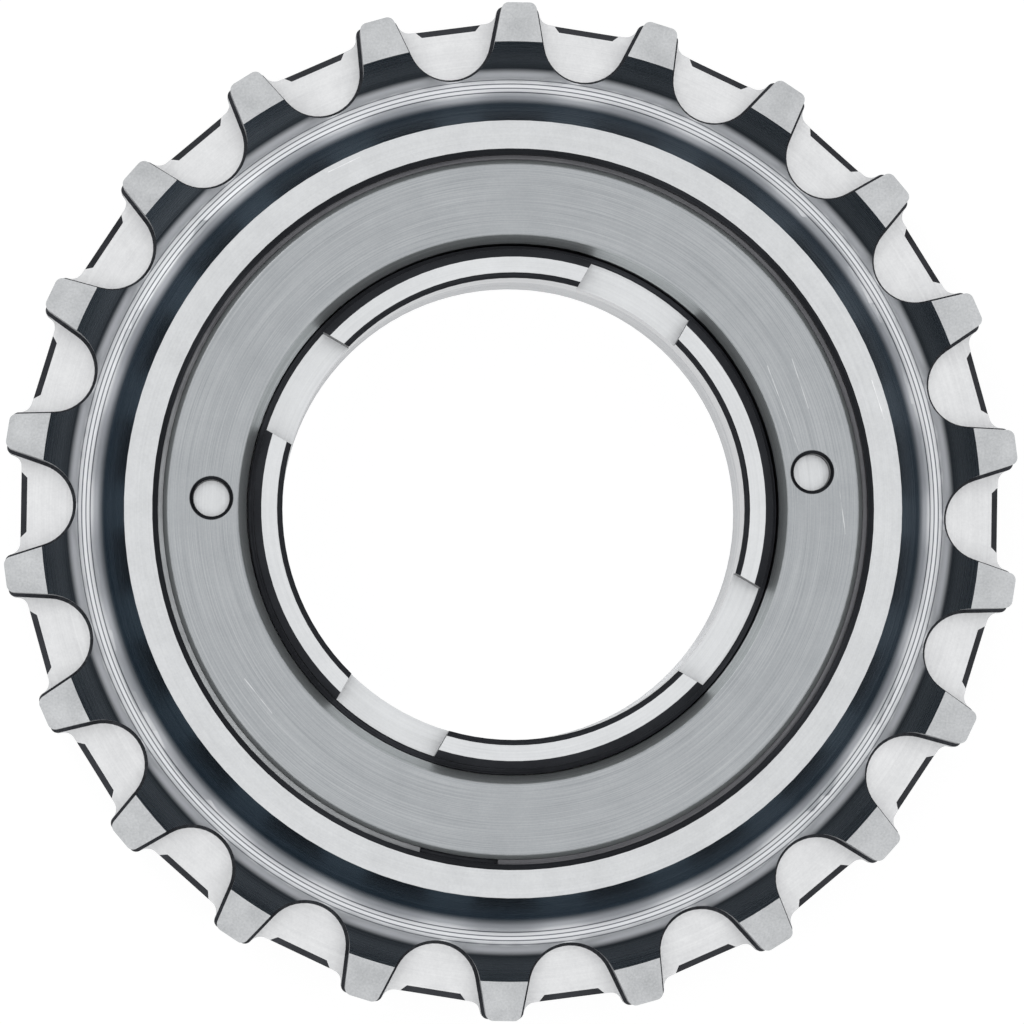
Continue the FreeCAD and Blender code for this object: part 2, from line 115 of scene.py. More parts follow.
# %% Helpers for the nodes that every finish uses
MIX_SOCKETS = {"FLOAT": ("i2", "i3", 0), "VECTOR": ("i4", "i5", 1), "RGBA": ("i6", "i7", 2)}


def object_place(tree):
    return add_node(tree, "ShaderNodeTexCoord").outputs["Object"]


def ramp(tree, value, low, high, at_low=0.0, at_high=1.0, shape="LINEAR"):
    return add_node(tree, "ShaderNodeMapRange", {"interpolation_type": shape}, Value=value, i1=low, i2=high,
                    i3=at_low, i4=at_high).outputs[0]


def mix(tree, kind, share, first, second):
    """All of the first value where share is 0, all of the second where it is 1."""
    first_input, second_input, result = MIX_SOCKETS[kind]
    return add_node(tree, "ShaderNodeMix", {"data_type": kind}, i0=share,
                    **{first_input: first, second_input: second}).outputs[result]


def noise(tree, place, scale, detail, roughness=0.5):
    return add_node(tree, "ShaderNodeTexNoise", Vector=place, Scale=scale, Detail=detail,
                    Roughness=roughness).outputs["Fac"]


def feed(shader, name):
    """What is linked into this input of the shader now."""
    return shader.inputs[name].links[0].from_socket


# %% [markdown]
# ## Turning marks
# A lathe leaves fine rings about the axis. Noise that only varies with the radius, and very slowly with the
# angle, gives broken rings that look turned. A plain ring pattern would look printed, so we stretch noise
# instead: the radius is multiplied by a large number and the way round by a small one.

# %% Node group: rings left by the lathe
FINENESS = 9000.0
WAY_ROUND = 1.2
RING_DEPTH = 0.02 * MM
turning, t_in, t_out = new_group(
    "turning_marks",
    [("Fineness", "NodeSocketFloat", FINENESS), ("Way Round", "NodeSocketFloat", WAY_ROUND),
     ("Height", "NodeSocketFloat", 0.1)],
    [("Mark", "NodeSocketFloat"), ("Normal", "NodeSocketVector")])
x, y, z = add_node(turning, "ShaderNodeSeparateXYZ", Vector=object_place(turning)).outputs
squared = maths(turning, "ADD", maths(turning, "MULTIPLY", x, x), maths(turning, "MULTIPLY", y, y))
radius = maths(turning, "SQRT", squared)
angle = maths(turning, "ARCTAN2", y, x)
across = maths(turning, "MULTIPLY", radius, t_in.outputs["Fineness"])
up_the_wall = maths(turning, "MULTIPLY", z, t_in.outputs["Fineness"])
around_one = maths(turning, "MULTIPLY", maths(turning, "SINE", angle), t_in.outputs["Way Round"])
around_two = maths(turning, "MULTIPLY", maths(turning, "COSINE", angle), t_in.outputs["Way Round"])
stretched = add_node(turning, "ShaderNodeCombineXYZ", i0=maths(turning, "ADD", across, up_the_wall),
                     i1=around_one, i2=around_two).outputs[0]
rings = noise(turning, stretched, scale=1.0, detail=3.0, roughness=0.6)
ring_bump = add_node(turning, "ShaderNodeBump", Strength=t_in.outputs["Height"], Distance=RING_DEPTH,
                     Height=rings)
turning.links.new(rings, t_out.inputs["Mark"])
turning.links.new(ring_bump.outputs[0], t_out.inputs["Normal"])
print("turning marks:", len(turning.nodes), "nodes")

# %% [markdown]
# ## Blasted grain
# The flat tooth faces and the land are dull and evenly speckled, as if they were bead-blasted before plating.
# Two sizes of noise do this: a fine one for the beads' dents and a broad one for the cloudy look that the
# plating leaves.

# %% Node group: bead-blasted grain
DENT_SCALE = 6000.0
CLOUD_SCALE = 420.0
DENT_DEPTH = 0.03 * MM
grain, g_in, g_out = new_group(
    "blasted_grain",
    [("Grain Size", "NodeSocketFloat", DENT_SCALE), ("Height", "NodeSocketFloat", 0.12)],
    [("Speckle", "NodeSocketFloat"), ("Cloud", "NodeSocketFloat"), ("Normal", "NodeSocketVector")])
grain_place = object_place(grain)
dents = noise(grain, grain_place, scale=g_in.outputs["Grain Size"], detail=2.0, roughness=0.7)
cloud = noise(grain, grain_place, scale=CLOUD_SCALE, detail=4.0, roughness=0.6)
dent_bump = add_node(grain, "ShaderNodeBump", Strength=g_in.outputs["Height"], Distance=DENT_DEPTH,
                     Height=dents)
grain.links.new(dents, g_out.inputs["Speckle"])
grain.links.new(cloud, g_out.inputs["Cloud"])
grain.links.new(dent_bump.outputs[0], g_out.inputs["Normal"])
print("blasted grain:", len(grain.nodes), "nodes")

# %% [markdown]
# ## A metal made from the two groups
# Every steel surface here is the same shader with other numbers: how light it is, how dull, how strong its
# rings are and how strong its grain. A function that takes those numbers keeps the finishes comparable, and a
# change to one finish never touches another.

# %% How each steel finish is made
NOISE_LOW = 0.3
NOISE_HIGH = 0.7
SPECKLE_SHARE = 0.5


def steel(name, light, dark, roughness, spread, rings_on=0.0, grain_on=0.0, fineness=FINENESS,
          way_round=WAY_ROUND):
    """The colour goes from dark to light with the noise, and the roughness by spread either way against it."""
    material = bpy.data.materials.new(name)
    material.use_nodes = True
    tree = material.node_tree
    shader = tree.nodes["Principled BSDF"]
    shader.inputs["Metallic"].default_value = 1.0
    lathe = add_node(tree, "ShaderNodeGroup", {"node_tree": turning})
    lathe.inputs["Fineness"].default_value = fineness
    lathe.inputs["Way Round"].default_value = way_round
    lathe.inputs["Height"].default_value = rings_on
    blasted = add_node(tree, "ShaderNodeGroup", {"node_tree": grain})
    blasted.inputs["Height"].default_value = grain_on
    share = rings_on / (rings_on + grain_on)
    speckled = mix(tree, "FLOAT", SPECKLE_SHARE, blasted.outputs["Cloud"], blasted.outputs["Speckle"])
    mark = mix(tree, "FLOAT", share, speckled, lathe.outputs["Mark"])
    mask = ramp(tree, mark, NOISE_LOW, NOISE_HIGH)
    colour = mix(tree, "RGBA", mask, (*dark, 1.0), (*light, 1.0))
    dullness = ramp(tree, mask, 0.0, 1.0, roughness + spread, roughness - spread)
    bumps = mix(tree, "VECTOR", share, blasted.outputs["Normal"], lathe.outputs["Normal"])
    tree.links.new(colour, shader.inputs["Base Color"])
    tree.links.new(dullness, shader.inputs["Roughness"])
    tree.links.new(bumps, shader.inputs["Normal"])
    return material


# %% [markdown]
# ## The finishes that show
# The real part is one plated steel, but each tool left its own surface: blasted teeth, milled valleys, a turned
# groove, a brushed lockring. The colours are linear values, so 0.5 already looks light. The dark ones are
# painted
# shade: slopes, gaps and sides mirror the dark side of a room, and as the surroundings here are white, that
# dark is painted into their colour.

# %% Steel finishes of the pieces in view
tooth_steel = steel("blasted_tooth_face", light=(0.55, 0.56, 0.57), dark=(0.4, 0.41, 0.42),
                    roughness=0.5, spread=0.06, grain_on=0.3)
fin_steel = steel("milled_fin_face", light=(0.67, 0.675, 0.68), dark=(0.55, 0.555, 0.565),
                  roughness=0.36, spread=0.05, rings_on=0.05, grain_on=0.1)
land_steel = steel("matte_land", light=(0.61, 0.62, 0.63), dark=(0.51, 0.52, 0.53),
                   roughness=0.48, spread=0.06, rings_on=0.1, grain_on=0.2)
# painted shade: the groove's near-black colour stands in for the dark it mirrors, while its turning marks are
# real
groove_painted_light_steel = steel("turned_groove_painted_light", light=(0.055, 0.064, 0.073), dark=(0.022, 0.027, 0.032),
                     roughness=0.27, spread=0.08, rings_on=0.35, fineness=12000.0)
# painted shade: the valley walls' dark colour is partly milled steel and partly painted shade
valley_wall_shade_steel = steel("milled_valley_wall_painted_shade", light=(0.17, 0.175, 0.19), dark=(0.07, 0.075, 0.085),
                   roughness=0.38, spread=0.06, rings_on=0.1, grain_on=0.15)
ring_steel = steel("brushed_lockring", light=(0.38, 0.393, 0.405), dark=(0.255, 0.27, 0.283),
                   roughness=0.38, spread=0.06, rings_on=0.3, grain_on=0.14, fineness=14000.0, way_round=2.0)
rim_steel = steel("machined_rim", light=(0.58, 0.59, 0.6), dark=(0.49, 0.5, 0.51),
                  roughness=0.34, spread=0.05, rings_on=0.1, grain_on=0.1)
bore_steel = steel("machined_bore", light=(0.6, 0.61, 0.62), dark=(0.42, 0.43, 0.45),
                   roughness=0.34, spread=0.06, rings_on=0.25, grain_on=0.05)
# painted shade: this dark colour goes on rounded edges, slopes, gaps and sides in place of the dark they mirror
painted_shade_steel = steel("dark_edge_painted_shade", light=(0.05, 0.053, 0.06), dark=(0.018, 0.019, 0.022),
                   roughness=0.4, spread=0.08, rings_on=0.2, grain_on=0.1)
# painted sheen: the lockring's bevels get a lighter grey that stands in for the light they reflect
bevel_sheen_steel = steel("bevel_painted_sheen", light=(0.62, 0.65, 0.66), dark=(0.36, 0.385, 0.395),
                   roughness=0.6, spread=0.08, rings_on=0.3, grain_on=0.1, fineness=16000.0)
print("brightest steel in view:", fin_steel.name, "- darkest:", painted_shade_steel.name)

# %% [markdown]
# ## The groove's painted highlight
# The groove between the teeth and the land is rounded at its bottom. Its steel is painted near-black as shade,
# a bright band is painted at the bottom as a highlight, with a few fine lines that the turning tool left, and
# the outer slope is painted lighter towards the teeth as a painted reflection. All of these follow the distance
# from the axis, so we measure that distance in the shader and mix the painted tones in over it. The four
# numbers of a band are where it begins to show, where it is full, where it stops being full and where it is
# gone.

# %% Measures and tones of the groove
HIGHLIGHT_BAND = (29.9 * MM, 30.6 * MM, 32.3 * MM, 32.8 * MM)
LINED_BAND = (30.8 * MM, 30.9 * MM, 31.9 * MM, 32.0 * MM)
LINE_SPACING = 0.31 * MM
HALF_WAY = 0.5
LINE_EDGE = (0.06, 0.2)
OUTER_SLOPE = (32.8 * MM, 34.4 * MM)
HIGHLIGHT_TONE = (0.7, 0.71, 0.73, 1.0)
HIGHLIGHT_ROUGHNESS = 0.46
LINE_TONE = (0.13, 0.14, 0.16, 1.0)
SLOPE_REFLECTION_TONE = (0.26, 0.295, 0.33, 1.0)
GRAZING_TONE = (0.42, 0.46, 0.5, 1.0)
ACROSS_AXIS = (1.0, 1.0, 0.0)
print("groove band from", round(HIGHLIGHT_BAND[0] / MM, 2), "to", round(HIGHLIGHT_BAND[3] / MM, 2), "mm")


# %% Groove finish
def window(tree, value, limits):
    """1 between the two inner limits, 0 beyond the two outer ones."""
    rising = ramp(tree, value, limits[0], limits[1], shape="SMOOTHSTEP")
    falling = ramp(tree, value, limits[2], limits[3], 1.0, 0.0, shape="SMOOTHSTEP")
    return maths(tree, "MULTIPLY", rising, falling)


groove_tree = groove_painted_light_steel.node_tree
groove_shader = groove_tree.nodes["Principled BSDF"]
groove_shader.inputs["Specular Tint"].default_value = GRAZING_TONE
groove_place = vector_maths(groove_tree, "MULTIPLY", object_place(groove_tree), ACROSS_AXIS)
from_axis = vector_maths(groove_tree, "LENGTH", groove_place, output=1)
# painted highlight: a bright band at the rounded bottom of the groove, with fine turning lines in it
painted_highlight = window(groove_tree, from_axis, HIGHLIGHT_BAND)
to_line = maths(groove_tree, "PINGPONG", maths(groove_tree, "DIVIDE", from_axis, LINE_SPACING), HALF_WAY)
between_lines = ramp(groove_tree, to_line, *LINE_EDGE)
unlined = maths(groove_tree, "SUBTRACT", 1.0, window(groove_tree, from_axis, LINED_BAND))
plain = maths(groove_tree, "MAXIMUM", between_lines, unlined)
highlight_colour = mix(groove_tree, "RGBA", plain, LINE_TONE, HIGHLIGHT_TONE)
# painted reflection: the outer slope is painted lighter towards the teeth
painted_slope = mix(groove_tree, "RGBA", ramp(groove_tree, from_axis, *OUTER_SLOPE), feed(groove_shader, "Base Color"),
            SLOPE_REFLECTION_TONE)
groove_colour = mix(groove_tree, "RGBA", painted_highlight, painted_slope, highlight_colour)
groove_dullness = mix(groove_tree, "FLOAT", painted_highlight, feed(groove_shader, "Roughness"), HIGHLIGHT_ROUGHNESS)
groove_tree.links.new(groove_colour, groove_shader.inputs["Base Color"])
groove_tree.links.new(groove_dullness, groove_shader.inputs["Roughness"])
print("groove finish:", len(groove_tree.nodes), "nodes")

# %% [markdown]
# ## Scratches on the flat faces
# A used or handled part has a few light scratches. Each is a short line between two points on a face. One node
# group measures how far a point lies from that line, and noise breaks the line up, so it doesn't look drawn.

# %% Node group: one scratch
SCRATCH_EDGE = (0.4, 1.0)
BREAK_SCALE = 900.0
BREAK_EDGE = (0.3, 0.65)
SCRATCH_STRENGTH = 0.8
scratch, s_in, s_out = new_group(
    "scratch",
    [("Start", "NodeSocketVector", (0.0, 0.0, 0.0)), ("End", "NodeSocketVector", (0.01, 0.0, 0.0)),
     ("Width", "NodeSocketFloat", 0.04 * MM)],
    [("Mask", "NodeSocketFloat")])
scratch_place = vector_maths(scratch, "MULTIPLY", object_place(scratch), ACROSS_AXIS)
whole_line = vector_maths(scratch, "SUBTRACT", s_in.outputs["End"], s_in.outputs["Start"])
offset = vector_maths(scratch, "SUBTRACT", scratch_place, s_in.outputs["Start"])
along = maths(scratch, "DIVIDE", vector_maths(scratch, "DOT_PRODUCT", offset, whole_line, output=1),
              vector_maths(scratch, "DOT_PRODUCT", whole_line, whole_line, output=1), clamp=True)
nearest = add_node(scratch, "ShaderNodeVectorMath", {"operation": "SCALE"}, i0=whole_line,
                   Scale=along).outputs[0]
distance = vector_maths(scratch, "DISTANCE", offset, nearest, output=1)
cut = ramp(scratch, maths(scratch, "DIVIDE", distance, s_in.outputs["Width"]), *SCRATCH_EDGE, at_low=1.0,
           at_high=0.0)
broken = ramp(scratch, noise(scratch, scratch_place, scale=BREAK_SCALE, detail=2.0), *BREAK_EDGE,
              at_high=SCRATCH_STRENGTH)
scratch.links.new(maths(scratch, "MULTIPLY", cut, broken), s_out.inputs["Mask"])
print("scratch:", len(scratch.nodes), "nodes")


# %% Scratches on the lockring and the land
def add_scratches(material, lines, colour):
    """lines holds (x, y, x, y) in millimetres, looking at the part from the front."""
    tree = material.node_tree
    shader = tree.nodes["Principled BSDF"]
    total = 0.0
    for x_start, y_start, x_end, y_end in lines:
        one = add_node(tree, "ShaderNodeGroup", {"node_tree": scratch})
        one.inputs["Start"].default_value = (x_start * MM, y_start * MM, 0.0)
        one.inputs["End"].default_value = (x_end * MM, y_end * MM, 0.0)
        total = maths(tree, "MAXIMUM", one.outputs[0], total)
    scratched = mix(tree, "RGBA", total, feed(shader, "Base Color"), (*colour, 1.0))
    tree.links.new(scratched, shader.inputs["Base Color"])
    print(material.name, "scratches:", len(lines))


add_scratches(ring_steel, [(18.6, 10.5, 20.9, 4.3), (20.4, 11.0, 21.6, 7.4), (23.6, 3.4, 24.3, -1.8),
                           (-19.6, -12.4, -17.6, -14.9)], colour=(0.62, 0.63, 0.64))
add_scratches(land_steel, [(26.2, 9.4, 27.1, 6.6), (-13.5, 24.6, -11.2, 25.7)], colour=(0.92, 0.92, 0.93))

# %% [markdown]
# ## The dust ring's lighter side
# The split ring in the running gap is dark, and painted silvery along the lower left as painted light. A mask
# that follows the angle round the axis, roughened by noise, does this.

# %% Dust ring finish
LIGHTER_SIDE_DIRECTION = math.radians(208)
LIGHTER_SIDE_EDGE = (0.6, 1.1)
LIGHTER_SIDE_TONE = (0.54, 0.56, 0.57, 1.0)
PATCH_SCALE = 500.0
PATCH_STRENGTH = 0.3
dust_steel = steel("dust_ring_painted_light", light=(0.2, 0.2, 0.21), dark=(0.1, 0.1, 0.11), roughness=0.4, spread=0.06,
                   rings_on=0.2, grain_on=0.1)
dust_tree = dust_steel.node_tree
dust_shader = dust_tree.nodes["Principled BSDF"]
dust_place = object_place(dust_tree)
toward_lighter_side = vector_maths(dust_tree, "DOT_PRODUCT", vector_maths(dust_tree, "NORMALIZE", dust_place),
                           (math.cos(LIGHTER_SIDE_DIRECTION), math.sin(LIGHTER_SIDE_DIRECTION), 0.0), output=1)
patches = noise(dust_tree, dust_place, scale=PATCH_SCALE, detail=3.0)
patchy_edge = maths(dust_tree, "ADD", toward_lighter_side, maths(dust_tree, "MULTIPLY", patches, PATCH_STRENGTH))
# painted light: the ring is painted lighter along its lower left side
lighter_side = ramp(dust_tree, patchy_edge, *LIGHTER_SIDE_EDGE)
dust_colour = mix(dust_tree, "RGBA", lighter_side, feed(dust_shader, "Base Color"), LIGHTER_SIDE_TONE)
dust_tree.links.new(dust_colour, dust_shader.inputs["Base Color"])
print("dust ring finish:", len(dust_tree.nodes), "nodes")

# %% [markdown]
# ## Rubber for the rear seal
# The seal behind the ball race is dull black rubber. Rubber isn't a metal, so it gets its own small shader,
# with the blasted grain's clouds in its colour and its dents as a fine bump.

# %% Seal rubber
RUBBER_DARK = (0.018, 0.018, 0.019, 1.0)
RUBBER_LIGHT = (0.04, 0.04, 0.042, 1.0)
RUBBER_ROUGHNESS = 0.72
seal_rubber = bpy.data.materials.new("seal_rubber")
seal_rubber.use_nodes = True
rubber_tree = seal_rubber.node_tree
rubber_shader = rubber_tree.nodes["Principled BSDF"]
rubber_grain = add_node(rubber_tree, "ShaderNodeGroup", {"node_tree": grain})
rubber_colour = mix(rubber_tree, "RGBA", rubber_grain.outputs["Cloud"], RUBBER_DARK, RUBBER_LIGHT)
rubber_tree.links.new(rubber_colour, rubber_shader.inputs["Base Color"])
rubber_tree.links.new(rubber_grain.outputs["Normal"], rubber_shader.inputs["Normal"])
rubber_shader.inputs["Roughness"].default_value = RUBBER_ROUGHNESS
print("seal rubber:", len(rubber_tree.nodes), "nodes")

# %% [markdown]
# ## A finished copy of a solid
# A loaded solid is loose triangles with hard shading. For the surfaces that show we take a copy, merge its
# points, dissolve the flat parts into single faces and mark the sharp edges, so that turned walls shade
# smoothly. A very small bevel then gives each edge the thin bright line that real steel shows.

# %% Small helpers for meshes
SHARP = math.radians(24)


def flat_radius(point):
    return math.hypot(point.x, point.y)


def shades_smoothly(line):
    """True where the surface turns by no more than SHARP over this edge."""
    return not (len(line.link_faces) == 2 and line.calc_face_angle(0.0) > SHARP)


def weigh_normals(piece):
    """Large flat faces shade flat right up to their bevels."""
    flat_first = piece.modifiers.new("large_faces_first", "WEIGHTED_NORMAL")
    flat_first.keep_sharp = True


# %% Helper that makes a finished copy
SAME_POINT = 0.0005 * MM
SAME_PLANE = math.radians(0.4)
ON_AXIS = 0.01 * MM
EDGE_WIDTH = 0.05 * MM
EDGE_STEPS = 2
EDGE_ANGLE = math.radians(35)


def finished_copy(node_name, piece_name, body, materials, choose, soft=lambda r, z: False):
    """choose(radius, height, normal, outward) returns the place in materials for one face, where outward is how
    far its normal points away from the axis. soft(radius, height) is true where every edge shades smoothly."""
    mesh = bpy.data.meshes.new(piece_name)
    bm = bmesh.new()
    bm.from_mesh(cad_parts[node_name].data)
    bmesh.ops.remove_doubles(bm, verts=bm.verts, dist=SAME_POINT)
    bmesh.ops.dissolve_limit(bm, angle_limit=SAME_PLANE, verts=bm.verts, edges=bm.edges)
    bm.normal_update()
    for face in bm.faces:
        face.smooth = True
        corners = [corner.co for corner in face.verts]
        middle = sum(corners, Vector()) / len(corners)
        outward = (face.normal.x * middle.x + face.normal.y * middle.y) / max(flat_radius(middle), ON_AXIS)
        mean_radius = mean(flat_radius(point) for point in corners)
        face.material_index = choose(mean_radius, middle.z, face.normal, outward)
    for line in bm.edges:
        in_round = all(soft(flat_radius(corner.co), corner.co.z) for corner in line.verts)
        line.smooth = in_round or shades_smoothly(line)
    bm.to_mesh(mesh)
    count = len(bm.faces)
    bm.free()
    piece = bpy.data.objects.new(piece_name, mesh)
    bpy.context.scene.collection.objects.link(piece)
    for material in materials:
        mesh.materials.append(material)
    bevel = piece.modifiers.new("edge_break", "BEVEL")
    bevel.width = EDGE_WIDTH
    bevel.segments = EDGE_STEPS
    bevel.limit_method = "ANGLE"
    bevel.angle_limit = EDGE_ANGLE
    weigh_normals(piece)
    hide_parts(node_name)
    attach(piece, body)
    print(piece_name, "faces", count)
    return piece


# %% [markdown]
# ## The shell with its teeth
# From the front the shell shows five finishes: blasted tooth faces, brighter fin faces deep in the valleys,
# milled valley walls darkened by painted shade, a turned groove with its painted highlight, and the matte land
# round the lockring. Its rounded edges and all that lies in the gaps are painted dark as shade. Painting these
# regions by hand would be slow, so a function looks at where each face lies and which way it points: a level
# face lies across the axis, and a steep one runs along it.

# %% Measures of the shell's regions
# the valley walls and the dark faces carry painted shade
LAND, TOOTH, FIN, GROOVE, SHADED_WALL, PAINTED_SHADE = range(6)
LEVEL = 0.95
STEEP = 0.3
OUTWARD = 0.2
LAND_OUTER_RADIUS = 28.5 * MM
GROOVE_OUTER_RADIUS = 32.0 * MM
VALLEY_RADIUS = GROOVE_OUTER_RADIUS - 0.4 * MM
TOOTH_RADIUS = GROOVE_OUTER_RADIUS + 0.3 * MM
ROUND_RADIUS = GROOVE_OUTER_RADIUS + 0.5 * MM
ROUND_DEPTH = 1.9 * MM
LAND_MARGIN = 0.2 * MM
FIN_REACH = 1.6 * MM
print("teeth beyond", round(TOOTH_RADIUS / MM, 2), "mm, fin around", round(FIN_MIDDLE_Z / MM, 2), "mm")


# %% Shell
def shell_finish(r, z, normal, outward):
    level = abs(normal.z) > LEVEL
    if level and z > LAND_Z - LAND_MARGIN:
        return LAND
    if r > TOOTH_RADIUS:
        if abs(z - FIN_MIDDLE_Z) < FIN_REACH:
            return FIN if level else PAINTED_SHADE if abs(normal.z) > STEEP else SHADED_WALL
        if level:
            return TOOTH
        if abs(normal.z) < STEEP:
            return SHADED_WALL
    if r > VALLEY_RADIUS and outward > OUTWARD:
        return SHADED_WALL if abs(normal.z) < STEEP else PAINTED_SHADE
    return GROOVE if r > LAND_OUTER_RADIUS else PAINTED_SHADE


def in_groove(r, z):
    return HIGHLIGHT_BAND[0] < r < ROUND_RADIUS and z < TOOTH_FRONT_Z - ROUND_DEPTH


shell_piece = finished_copy("sprocket_shell", "shell_finished", "shell",
                            [land_steel, tooth_steel, fin_steel, groove_painted_light_steel, valley_wall_shade_steel, painted_shade_steel],
                            shell_finish, soft=in_groove)

# %% [markdown]
# ## The inner body
# The inner body carries the hub thread and stands up through the lockring as a ring with four notches. Its
# rim faces and notch floors are some of the brightest metal in view, and the sides of the rim are painted dark
# as shade. We use the same kind of function: height and radius tell the rim, its sides and the bore apart.

# %% Inner body
RIM, BORE, SHADED_RIM_SIDE = range(3)
UPWARD = 0.9
RIM_DEPTH = 3.0 * MM
SIDE_DEPTH = 6.0 * MM
BORE_REACH = 17.3 * MM


def body_finish(r, z, normal, outward):
    if normal.z > UPWARD and z > LAND_Z - RIM_DEPTH:
        return RIM
    if r < BORE_REACH and abs(normal.z) < STEEP:
        return BORE
    # painted shade: the faces round the rim's sides get the dark colour
    return SHADED_RIM_SIDE if z > LAND_Z - SIDE_DEPTH else BORE


body_piece = finished_copy("inner_body", "inner_body_finished", "core", [rim_steel, bore_steel, painted_shade_steel],
                           body_finish)

# %% [markdown]
# ## The hub thread
# The bore's rear half carries a fine right-hand thread, 24 turns to the inch, which screws onto the hub. Bump
# alone would leave the bore's outline smooth, so we cut real grooves: a triangle is spun round the axis and
# climbs by one pitch per turn, and a boolean takes that long wedge away from the wall.

# %% The thread's cutter
THREAD_PITCH = 25.4 / 24 * MM
THREAD_START = -0.45 * MM
THREAD_TURNS = 11
THREAD_ROOT = 0.5 * MM
THREAD_AIR = -0.15 * MM
THREAD_FLANK = math.radians(30)
STEPS_PER_TURN = 60
bore_radius = min(flat_radius(v.co) for v in body_piece.data.vertices)
half_width = (THREAD_ROOT - THREAD_AIR) * math.tan(THREAD_FLANK)
bm = bmesh.new()
section = [bm.verts.new((bore_radius + THREAD_AIR, 0, THREAD_START - half_width)),
           bm.verts.new((bore_radius + THREAD_ROOT, 0, THREAD_START)),
           bm.verts.new((bore_radius + THREAD_AIR, 0, THREAD_START + half_width))]
first_end = bm.faces.new(section)
bmesh.ops.spin(bm, geom=list(first_end.edges), cent=(0, 0, 0), axis=(0, 0, 1), angle=math.tau * THREAD_TURNS,
               steps=THREAD_TURNS * STEPS_PER_TURN, dvec=(0, 0, THREAD_PITCH / STEPS_PER_TURN), use_merge=False)
bmesh.ops.holes_fill(bm, edges=[line for line in bm.edges if len(line.link_faces) == 1], sides=4)
bmesh.ops.recalc_face_normals(bm, faces=bm.faces)
for face in bm.faces:
    face.material_index = BORE
cutter_mesh = bpy.data.meshes.new("thread_cutter")
bm.to_mesh(cutter_mesh)
bm.free()
for material in body_piece.data.materials:
    cutter_mesh.materials.append(material)
cutter = bpy.data.objects.new("thread_cutter", cutter_mesh)
bpy.context.scene.collection.objects.link(cutter)
print("cutter:", len(cutter_mesh.polygons), "faces, bore radius", round(bore_radius / MM, 3), "mm")

# %% [markdown]
# ## Cutting and keeping the result
# A boolean could stay on the piece as a live modifier. We work the cut out once instead and keep it as a plain
# mesh, so the cutter can go. The new edges are marked sharp where the surface turns by more than 24 degrees.

# %% Cut the thread
boolean = body_piece.modifiers.new("thread", "BOOLEAN")
boolean.operation = "DIFFERENCE"
boolean.solver = "EXACT"
boolean.object = cutter
evaluated = body_piece.evaluated_get(bpy.context.evaluated_depsgraph_get())
cut_mesh = bpy.data.meshes.new_from_object(evaluated)
body_piece.modifiers.clear()
body_piece.data = cut_mesh
bpy.data.objects.remove(cutter)
bm = bmesh.new()
bm.from_mesh(cut_mesh)
for line in bm.edges:
    line.smooth = shades_smoothly(line)
for face in bm.faces:
    face.smooth = True
open_edges = sum(1 for line in bm.edges if len(line.link_faces) != 2)
bm.to_mesh(cut_mesh)
bm.free()
weigh_normals(body_piece)
print("inner body with its thread:", len(cut_mesh.polygons), "faces, open edges", open_edges)

# %% [markdown]
# ## The lockring
# The flat lockring screws on over the rim and covers the balls. Its face is brushed in circles, its bevels are
# painted a lighter grey as a painted sheen, and it has two blind holes for a pin spanner. The holes' walls and
# the ring's sides are painted dark as shade, and the holes' floors are bright. We choose by the way a face
# points, and tell the floors by their height.

# %% Lockring
RING_FACE_Z = Vector(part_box("lockring")[1]).z
FACE, SHADED_RING_SIDE, HOLE_FLOOR, SHEEN_BEVEL = range(4)
HOLE_DEPTH = 1.0 * MM
PIN_CIRCLE_RADIUS = 22.05 * MM
HOLE_REACH = 2.0 * MM


def ring_finish(r, z, normal, outward):
    if normal.z > UPWARD and z < RING_FACE_Z - HOLE_DEPTH:
        return HOLE_FLOOR
    # painted shade on the ring's sides and the holes' chamfers; the other bevels get a painted sheen
    if STEEP < normal.z < UPWARD:
        return SHADED_RING_SIDE if abs(r - PIN_CIRCLE_RADIUS) < HOLE_REACH else SHEEN_BEVEL
    return FACE if normal.z > STEEP else SHADED_RING_SIDE


ring_piece = finished_copy("lockring", "lockring_finished", "core",
                           [ring_steel, painted_shade_steel, rim_steel, bevel_sheen_steel], ring_finish)

# %% [markdown]
# ## The dust ring
# A thin split ring closes the running gap round the lockring. It could have one material for its dark part and
# one for its part painted light, but then the join would show, so a single material covers it and fades between
# them.

# %% Dust ring
dust_piece = finished_copy("dust_ring", "dust_ring_finished", "shell", [dust_steel],
                           lambda r, z, normal, outward: 0)

# %% [markdown]
# ## The pieces inside
# The pawls, their spring, the balls, the shims and the rear seal are hidden in this view. They keep the solids'
# own shapes and still get their real finishes, because someone may take the part apart.

# %% Materials of the inner pieces
hard_steel = steel("hardened_steel", light=(0.34, 0.35, 0.37), dark=(0.24, 0.25, 0.27), roughness=0.32,
                   spread=0.06, grain_on=0.15)
ball_steel = steel("polished_ball", light=(0.84, 0.85, 0.86), dark=(0.74, 0.75, 0.77), roughness=0.12,
                   spread=0.03, grain_on=0.02)
inside = {
    "pawl_1": hard_steel, "pawl_2": hard_steel, "pawl_3": hard_steel, "pawl_spring": hard_steel,
    "front_balls": ball_steel, "rear_balls": ball_steel, "shim_1": bore_steel, "shim_2": bore_steel,
    "rear_seal": seal_rubber,
}
for node_name, material in inside.items():
    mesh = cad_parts[node_name].data
    mesh.materials.clear()
    mesh.materials.append(material)
print("inner pieces finished:", len(inside))

# %% [markdown]
# ## Floor and white surroundings
# The part lies on a white table. The floor shows itself as nearly white to the camera, and in the metal's
# reflections, but keeps a part of its own shading, so the shadow under the part stays. The world does the same:
# it looks white, but lights the part with only a third of that.

# %% What both have in common
WHITE = (1.0, 1.0, 1.0, 1.0)


